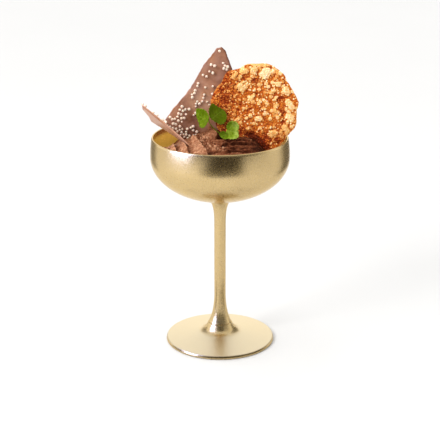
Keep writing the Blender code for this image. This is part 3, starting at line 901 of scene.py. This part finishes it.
# Groups on the tall shard: middle (s, t), half length, half width, turn in degrees, count
PEARL_GROUPS = (
    (0.6, 56.6, 0.8, 0.3, 0, 1), (4, 46.6, 3.4, 1.5, -60, 6), (4.4, 39.8, 0.5, 0.5, 0, 1),
    (-5, 45.5, 3.4, 2, 30, 3), (-6.5, 40, 4, 2.5, 10, 3), (-6, 33.6, 4, 1.2, 10, 2),
    (-16.3, 31, 5.4, 1, 62, 6), (-10.6, 26.2, 3.2, 0.8, 88, 3), (-7.2, 21.8, 3, 0.8, -55, 3),
    (-4.7, 28.1, 0.6, 0.6, 0, 1), (-15.6, 20.4, 3, 1.6, 70, 4), (-17.6, 14.4, 1.6, 1.2, 0, 2),
    (-26.4, 15.8, 5.4, 3.3, 60, 17), (-32.6, 11.4, 3.2, 1, -70, 4), (-20.6, 5.2, 2.3, 1.6, 0, 4),
    (-15.7, 2.4, 2.4, 0.5, 55, 2), (-28.6, 5, 6.6, 2.2, -42, 16), (-21.6, -0.4, 4.6, 1.8, -20, 9),
)
# The same on the left shard
LEFT_PEARL_GROUPS = (
    (1.2, -3.6, 1.6, 0.7, 0, 3), (10, -2.2, 3, 0.8, 10, 2), (19, -0.3, 3.5, 1, 5, 3),
    (14, 5, 9, 3, 0, 9),
)
PEARL_RADIUS = 1.02
PEARL_SPACING = 1.75
LEFT_PEARL_SPACING = 1.8
PEARL_SEED = 11


def scatter(rng, groups, keep_apart):
    """Places (s, t) in each group that keep apart from one another."""
    places = []
    for s0, t0, half_length, half_width, turn, count in groups:
        turn = radians(turn)
        placed = 0
        for _ in range(400):
            if placed == count:
                break
            along = rng.uniform(-1, 1) * half_length
            across = rng.uniform(-1, 1) * half_width
            s = s0 + along * cos(turn) - across * sin(turn)
            t = t0 + along * sin(turn) + across * cos(turn)
            if all(hypot(s - a, t - b) > keep_apart for a, b in places):
                places.append((s, t))
                placed += 1
    return places


def make_pearls(material):
    rng = random.Random(PEARL_SEED)
    ball = bmesh.new()
    bmesh.ops.create_icosphere(ball, subdivisions=3, radius=1.0)
    ball_points = [vert.co.copy() for vert in ball.verts]
    ball_faces = [tuple(vert.index for vert in face.verts) for face in ball.faces]
    ball.free()
    seats = [(tall_surface, s, t) for s, t in scatter(rng, PEARL_GROUPS, PEARL_SPACING)]
    seats += [(left_surface, s, t) for s, t in scatter(rng, LEFT_PEARL_GROUPS, LEFT_PEARL_SPACING)]
    points = []
    faces = []
    for surface, s, t in seats:
        here, normal = place_and_normal(surface, s, t)
        radius = PEARL_RADIUS * rng.uniform(0.76, 1.12)
        centre = here + normal * (SHARD_THICKNESS / 2 + radius * 0.8)
        squash = Vector([rng.uniform(0.9, 1.06) for _ in range(3)])
        start = len(points)
        points += [centre + point * squash * radius for point in ball_points]
        faces += [tuple(start + index for index in face) for face in ball_faces]
    add_piece("sugar_pearls", points, faces, material, None, {})


# --- Caramel crisp ---

CRISP_RADIUS = 28.7
CRISP_THICKNESS = 2.6
CRISP_PLANE = leaning_plane((24.0, 0.0, 167.3), 0.0, 17.0)
CRISP_LOBES = ((32, -1.9, 20), (71, 1.5, 9), (-4, -0.9, 12), (126, 0.9, 6), (170, 1.5, 14), (-45, -0.5, 5),
               (-63, 2.6, 13))
# Pale puffs: middle (s, t), half length, half width, turn in degrees, paleness
PUFFS = (
    (6.6, 22.6, 5.2, 4.2, 15, 1), (-1.4, 24.4, 3.6, 2.9, 80, 0.72), (-8.2, 23.8, 3.4, 2.4, 10, 0.66),
    (-9.7, 13, 4.2, 2.8, -60, 0.74), (-3, 6.2, 3.6, 1.7, 50, 0.72), (14.6, 15.2, 2.6, 2.2, 0, 0.85),
    (20.2, 11.2, 3.6, 2.4, -60, 0.82), (22.6, 1.4, 4.6, 2.8, -60, 0.88), (22.6, -7.4, 4.2, 2.6, -50, 0.88),
    (1.7, -7.9, 3.2, 2, 0, 0.85), (11, -18, 4.4, 2.4, 30, 0.62), (19.4, -14, 3.8, 2.2, -50, 0.62),
    (13.2, -2.8, 3, 1.5, -30, 0.58), (5, -1.2, 2.6, 1.2, 0, 0.50), (-12.8, -9, 3, 1.6, 30, 0.55),
    (-4.4, -15.6, 2.6, 1.8, 0, 0.45), (10.5, 9.5, 2.4, 1.3, 10, 0.55), (-4.5, 18.5, 1.8, 1.2, 0, 0.60),
    (2, 28.2, 9, 1.9, -4, 0.60), (14, 23.5, 4.2, 1.8, -48, 0.45), (-14.5, 21, 3.2, 1.6, 40, 0.55),
)
# Dark, well caramelised spots: middle (s, t), half length, half width, turn in degrees. The last runs along
# the mousse, where it is also painted shade.
BURNS = (
    (-0.6, 17.4, 3.8, 2.2, 20), (-8.7, 18.8, 2.2, 1.5, 40), (16.2, 5.4, 4.2, 2.2, 30),
    (18, -3.8, 4.4, 2, 80), (17.8, -10.2, 2.6, 1.6, 60), (-23, 11.4, 2.8, 1.8, 30),
    (-9.8, 1.9, 2.2, 1.4, 0), (-4.4, -1.4, 2.4, 1.2, 20), (2.4, 7, 2, 1.4, 70),
    (14.6, -21.6, 3.4, 2, 0), (-21, 6, 4.6, 2.6, 40), (-14, -16, 7, 5, 0),
    (6, -21, 6, 3, -20), (0.6, -21.8, 14, 4.8, -37),
)
# Dark band of the crisp along the mousse: burnt caramel with painted shade of the mousse
BURNT_SHADED_BAND = (1.2, -23.0, 13.5, 4.2, -37)
CRISP_SIDE = 208


def crisp_radius(angle):
    radius = CRISP_RADIUS + 0.35 * sin(9 * angle) + 0.25 * sin(14 * angle + 1.0)
    for direction, height, width in CRISP_LOBES:
        turn = (degrees(angle) - direction + 180) % 360 - 180
        radius += height * bell(turn, width)
    return radius + 0.45 * rough_noise(cos(angle) * 20, sin(angle) * 20, 0.5, 3.2, 3)


def crisp_surface(s, t):
    origin, right, up, front = CRISP_PLANE
    cup = 0.0016 * (s * s + t * t) + 0.35 * sin(s / 5.0) * sin(t / 6.0 + 0.8)
    return origin + right * s + up * t + front * cup


def crisp_relief(s, t, side):
    """Relief in mm, paleness of puffs and depth of caramel at a place on one side of the crisp. The depth
    of caramel also holds painted shade towards the left, the bottom and along the mousse, and the paleness
    and depth both hold painted highlights on the small beads.
    """
    if side < 0:
        s = -s
    wobble = 0.32 * rough_noise(s, t, 4.0, 2.2, 2)
    # Painted shade towards the left and the bottom.
    shade = 0.72 * smooth_step(-6.0, -19.0, s) + 0.42 * smooth_step(-9.0, -22.0, t)
    relief = 0.0
    pale = 0.0
    outlined = 0.0
    for *oval, paleness in PUFFS:
        depth = patch(s, t, *oval) + wobble
        outlined = max(outlined, bell(depth + 0.10, 0.13))
        if depth > 0:
            relief = max(relief, (0.55 + 0.5 * paleness) * sqrt(min(depth * 1.6, 1.0)))
            pale = max(pale, paleness * smooth_step(0.0, 0.30, depth))
    near, gap, centre = cells(s + 1.2 * wobble, t, side * 3.0, 2.7)
    pick = noise.noise(centre * 7.3) + 0.14
    if pick > 0.0:
        dome = max(1 - (near / 0.60) ** 2, 0.0)
        relief = max(relief, (0.35 + 0.6 * pick) * sqrt(dome))
        strength = min(0.30 + 1.3 * pick, 0.80) * (1 - min(shade, 0.9))
        pale = max(pale, smooth_step(0.05, 0.55, dome) * strength)
    small, small_gap, centre = cells(s, t + wobble, 9.0 + side, 1.25)
    bead = max(1 - (small / 0.62) ** 2, 0.0)
    relief += 0.34 * bead - 0.22 * (1 - smooth_step(0.0, 0.25, small_gap))
    pale *= 1 - 0.30 * (1 - smooth_step(0.0, 0.22, small_gap))
    # Painted glints: pale dots on some small bead tops, fewer in painted shade.
    dot = smooth_step(0.25, 0.75, bead) * smooth_step(0.05, 0.25, noise.noise(centre * 5.1))
    pale = max(pale, dot * (1 - 0.70 * min(shade, 1.0)))
    burn_and_painted_shade = 0.32 + 0.46 * min(shade, 1.0) + 0.30 * rough_noise(s, t, side, 6.0, 3) + 0.22 * outlined
    burn_and_painted_shade += 0.22 * (1 - smooth_step(0.02, 0.16, gap))
    for spot in BURNS:
        depth = patch(s, t, *spot) + 0.6 * wobble
        burn_and_painted_shade = max(burn_and_painted_shade, 0.5 + 0.4 * smooth_step(0.0, 0.5, depth))
        pale *= 1 - 0.85 * smooth_step(0.05, 0.35, depth)
    # Painted shade along the mousse over burnt caramel: darker, with no glints or bead highlights.
    burnt_shaded_band = smooth_step(0.0, 0.6, patch(s, t, *BURNT_SHADED_BAND) + 0.6 * wobble)
    relief -= 0.3 * smooth_step(0.6, 0.9, burn_and_painted_shade)
    burn_and_painted_shade += 0.26 * (1 - smooth_step(0.0, 0.3, small_gap))
    # Painted highlights: the caramel is lighter on each small bead, except in the band along the mousse.
    burn_and_painted_shade -= (0.10 + 0.34 * smooth_step(0.6, 0.9, burn_and_painted_shade) * (1 - burnt_shaded_band)) * bead
    return relief, pale * (1 - 0.6 * burnt_shaded_band), min(max(burn_and_painted_shade, 0.0), 0.9) + 0.1 * burnt_shaded_band


def make_crisp(material):
    """Two faces in relief on one square grid moved into the crisp's outline, with shared edge points."""
    last = CRISP_SIDE - 1
    points = []
    pales = []
    burn_and_shade_values = []
    faces = []
    front = []
    for side in (1, -1):
        numbers = []
        for row in range(CRISP_SIDE):
            for column in range(CRISP_SIDE):
                at_edge = row in (0, last) or column in (0, last)
                if side < 0 and at_edge:
                    numbers.append(front[len(numbers)])
                    continue
                u, v = disc_point(column, row, CRISP_SIDE)
                share = hypot(u, v)
                angle = atan2(v, u)
                s, t = u * crisp_radius(angle), v * crisp_radius(angle)
                here, normal = place_and_normal(crisp_surface, s, t)
                relief, pale, burn_and_painted_shade = crisp_relief(s, t, side)
                lift = 0.0
                if not at_edge:
                    relief *= 1 - 0.75 * smooth_step(0.93, 1.0, share)
                    relief *= sqrt(max(1 - share ** 14, 0.0))
                    lift = CRISP_THICKNESS / 2 * sqrt(max(1 - share ** 9, 0.0)) - 0.35
                    lift = max(lift, 0.05) + relief
                numbers.append(len(points))
                points.append(here + normal * lift * side)
                low_right = bell(degrees(angle) + 38.0, 34.0)
                rim_pale = (0.30 + 0.5 * low_right) * smooth_step(0.965, 1.0, share)
                pales.append(max(pale, rim_pale * (1 - smooth_step(0.5, 0.8, burn_and_painted_shade))))
                burn_and_shade_values.append(burn_and_painted_shade)
        faces += [tuple(numbers[corner] for corner in face) for face in grid_faces(CRISP_SIDE)]
        front = numbers
    add_piece("caramel_disc", points, faces, material, "caramel_crisp",
              {"puff_and_glint": pales, "burn_and_painted_shade": burn_and_shade_values})


# --- Herb ---

# Leaves lie in leaning planes: plane origin, yaw, lean, tone at its stalk and its far end, how much
# it is cupped, then the outline (s, t) in mm from its stalk end anticlockwise
LEAVES = (
    ((-7, -8.5, 158.2), -14, 18, (0.62, 0.44), 0.9,
     ((-1.2, 0.5), (-0.3, 3.4), (-1.3, 6.4), (-3.4, 8.6), (-6.4, 9.5), (-9.7, 9.2), (-9.9, 6.6),
      (-8.9, 3.4), (-7.3, 0.3), (-6.2, -2.5), (-4.4, -3.4), (-2.7, -2.4))),
    ((-7.2, -8.2, 160.4), 8, 22, (0.10, 0.18), 0.7,
     ((1.4, 0.6), (4.3, -1.6), (7.4, -3.3), (10, -2.2), (11.7, 1), (11.4, 4.5), (9.3, 7.2),
      (5.8, 9), (2.9, 10.9), (1, 9.2), (-0.1, 6.4), (0.1, 3.2))),
    ((7.4, -17.4, 150.8), 6, 28, (0.58, 0.95), 1,
     ((-2.8, 5.2), (-4.6, -0.5), (-2.6, -1), (0.1, -1.4), (3.2, -0.8), (5, 0.9), (5, 4.6),
      (5.6, 7.7), (3.9, 10), (1.1, 10.9), (-1.2, 10.1), (-2.8, 7.8))),
    ((7.4, -17.9, 150.6), 18, 30, (0.40, 0.55), 0.5,
     ((-2.4, 3.2), (-4.2, 4.9), (-6.2, 4.9), (-7.6, 3.4), (-6.6, 1.2), (-4.6, -0.4), (-2.6, 0.2))),
)
STALK_ROUTE = ((9, -17.8, 146.8), (7.4, -17.5, 150.6), (3.4, -17, 151.8), (-0.6, -15.4, 153.6),
               (-4.4, -12.4, 156.2), (-7.1, -8.5, 159), (-7.3, -8.3, 161.6))
LEAF_THICKNESS = 0.45
LEAF_RINGS = 18
LEAF_TEETH = 19
STALK_SIDES = 12


def leaf_mesh(leaf, start):
    """Points, faces, veins and tones of one leaf whose points are numbered from start on."""
    origin, yaw, lean, (tone_near, tone_far), cupped, corners = leaf
    origin, right, up, front = leaning_plane(origin, yaw, lean)
    outline = curve_through(corners, 9, closed=True)
    count = len(outline)
    middle = sum(outline, Vector((0.0, 0.0))) / count
    stalk = outline[0]
    along = (middle - stalk).normalized()
    length = max((point - stalk).dot(along) for point in outline)
    points = []
    veins = []
    tones = []
    for side in (1, -1):
        for ring in range(LEAF_RINGS + 1):
            share = 1 - ring / LEAF_RINGS
            for index, corner in enumerate(outline if ring < LEAF_RINGS else outline[:1]):
                tooth = 0.22 * sin(index * 2 * pi * LEAF_TEETH / count) * share ** 6
                place = middle + (corner - middle) * share + (corner - middle).normalized() * tooth
                a = (place - stalk).dot(along) / length
                across = (place - stalk).x * -along.y + (place - stalk).y * along.x
                reach = abs(across) / (0.42 * length)
                branch = (a * 5.0 - 1.1 * reach) % 1.0
                vein = max(bell(abs(branch - 0.5), 0.12) * max(1 - reach, 0.0) ** 0.5,
                           bell(across, 0.30) * (1 - 0.6 * a))
                quilt = 0.14 * sin(pi * branch) * max(1 - reach * reach, 0.0)
                lift = cupped * (1.3 * share ** 2 * reach - 0.9 * a * a)
                lift += 0.35 * rough_noise(place.x, place.y, yaw, 4.0)
                lift += (quilt - 0.28 * vein) * (1 - share ** 8)
                lift += side * LEAF_THICKNESS / 2 * (0.35, 0.8, 1.0)[min(ring, 2)]
                points.append(origin + right * place.x + up * place.y + front * lift)
                pale_edge = 0.7 * smooth_step(0.90, 1.0, share)
                veins.append(max(vein * (1 - share ** 8), pale_edge) * (0.15 + tone_far))
                mottle = rough_noise(place.x, place.y, yaw * 3.1, 2.4, 2)
                tones.append(mix(tone_near, tone_far, a) + 0.16 * mottle)
    return points, sheet_faces(start, LEAF_RINGS, count), veins, tones


def make_herb(material):
    points = []
    faces = []
    veins = []
    tones = []
    for leaf in LEAVES:
        for whole, part in zip((points, faces, veins, tones), leaf_mesh(leaf, len(points))):
            whole.extend(part)
    route = curve_through(STALK_ROUTE, 6, closed=False)
    start = len(points)
    for index, here in enumerate(route):
        ahead = route[min(index + 1, len(route) - 1)] - route[max(index - 1, 0)]
        side = ahead.cross(Vector((0, 1, 0))).normalized()
        other = ahead.cross(side).normalized()
        radius = mix(0.42, 0.26, index / len(route))
        for corner in range(STALK_SIDES):
            turn = 2 * pi * corner / STALK_SIDES
            points.append(here + side * radius * cos(turn) + other * radius * sin(turn))
    veins += [0.0] * (len(points) - start)
    tones += [0.0] * (len(points) - start)
    faces += stacked_bands(start, len(route), STALK_SIDES)
    faces += [tuple(range(end, end + STALK_SIDES)) for end in (start, len(points) - STALK_SIDES)]
    add_piece("herb", points, faces, material, "herb_sprig", {"vein": veins, "tone": tones})


mirrored_lamps = make_stage()
light_only(mirrored_lamps, make_coupe(gold_material()))
make_mousse(mousse_material())
make_shards(chocolate_material())
make_pearls(pearl_material())
make_crisp(caramel_material())
make_herb(leaf_material())
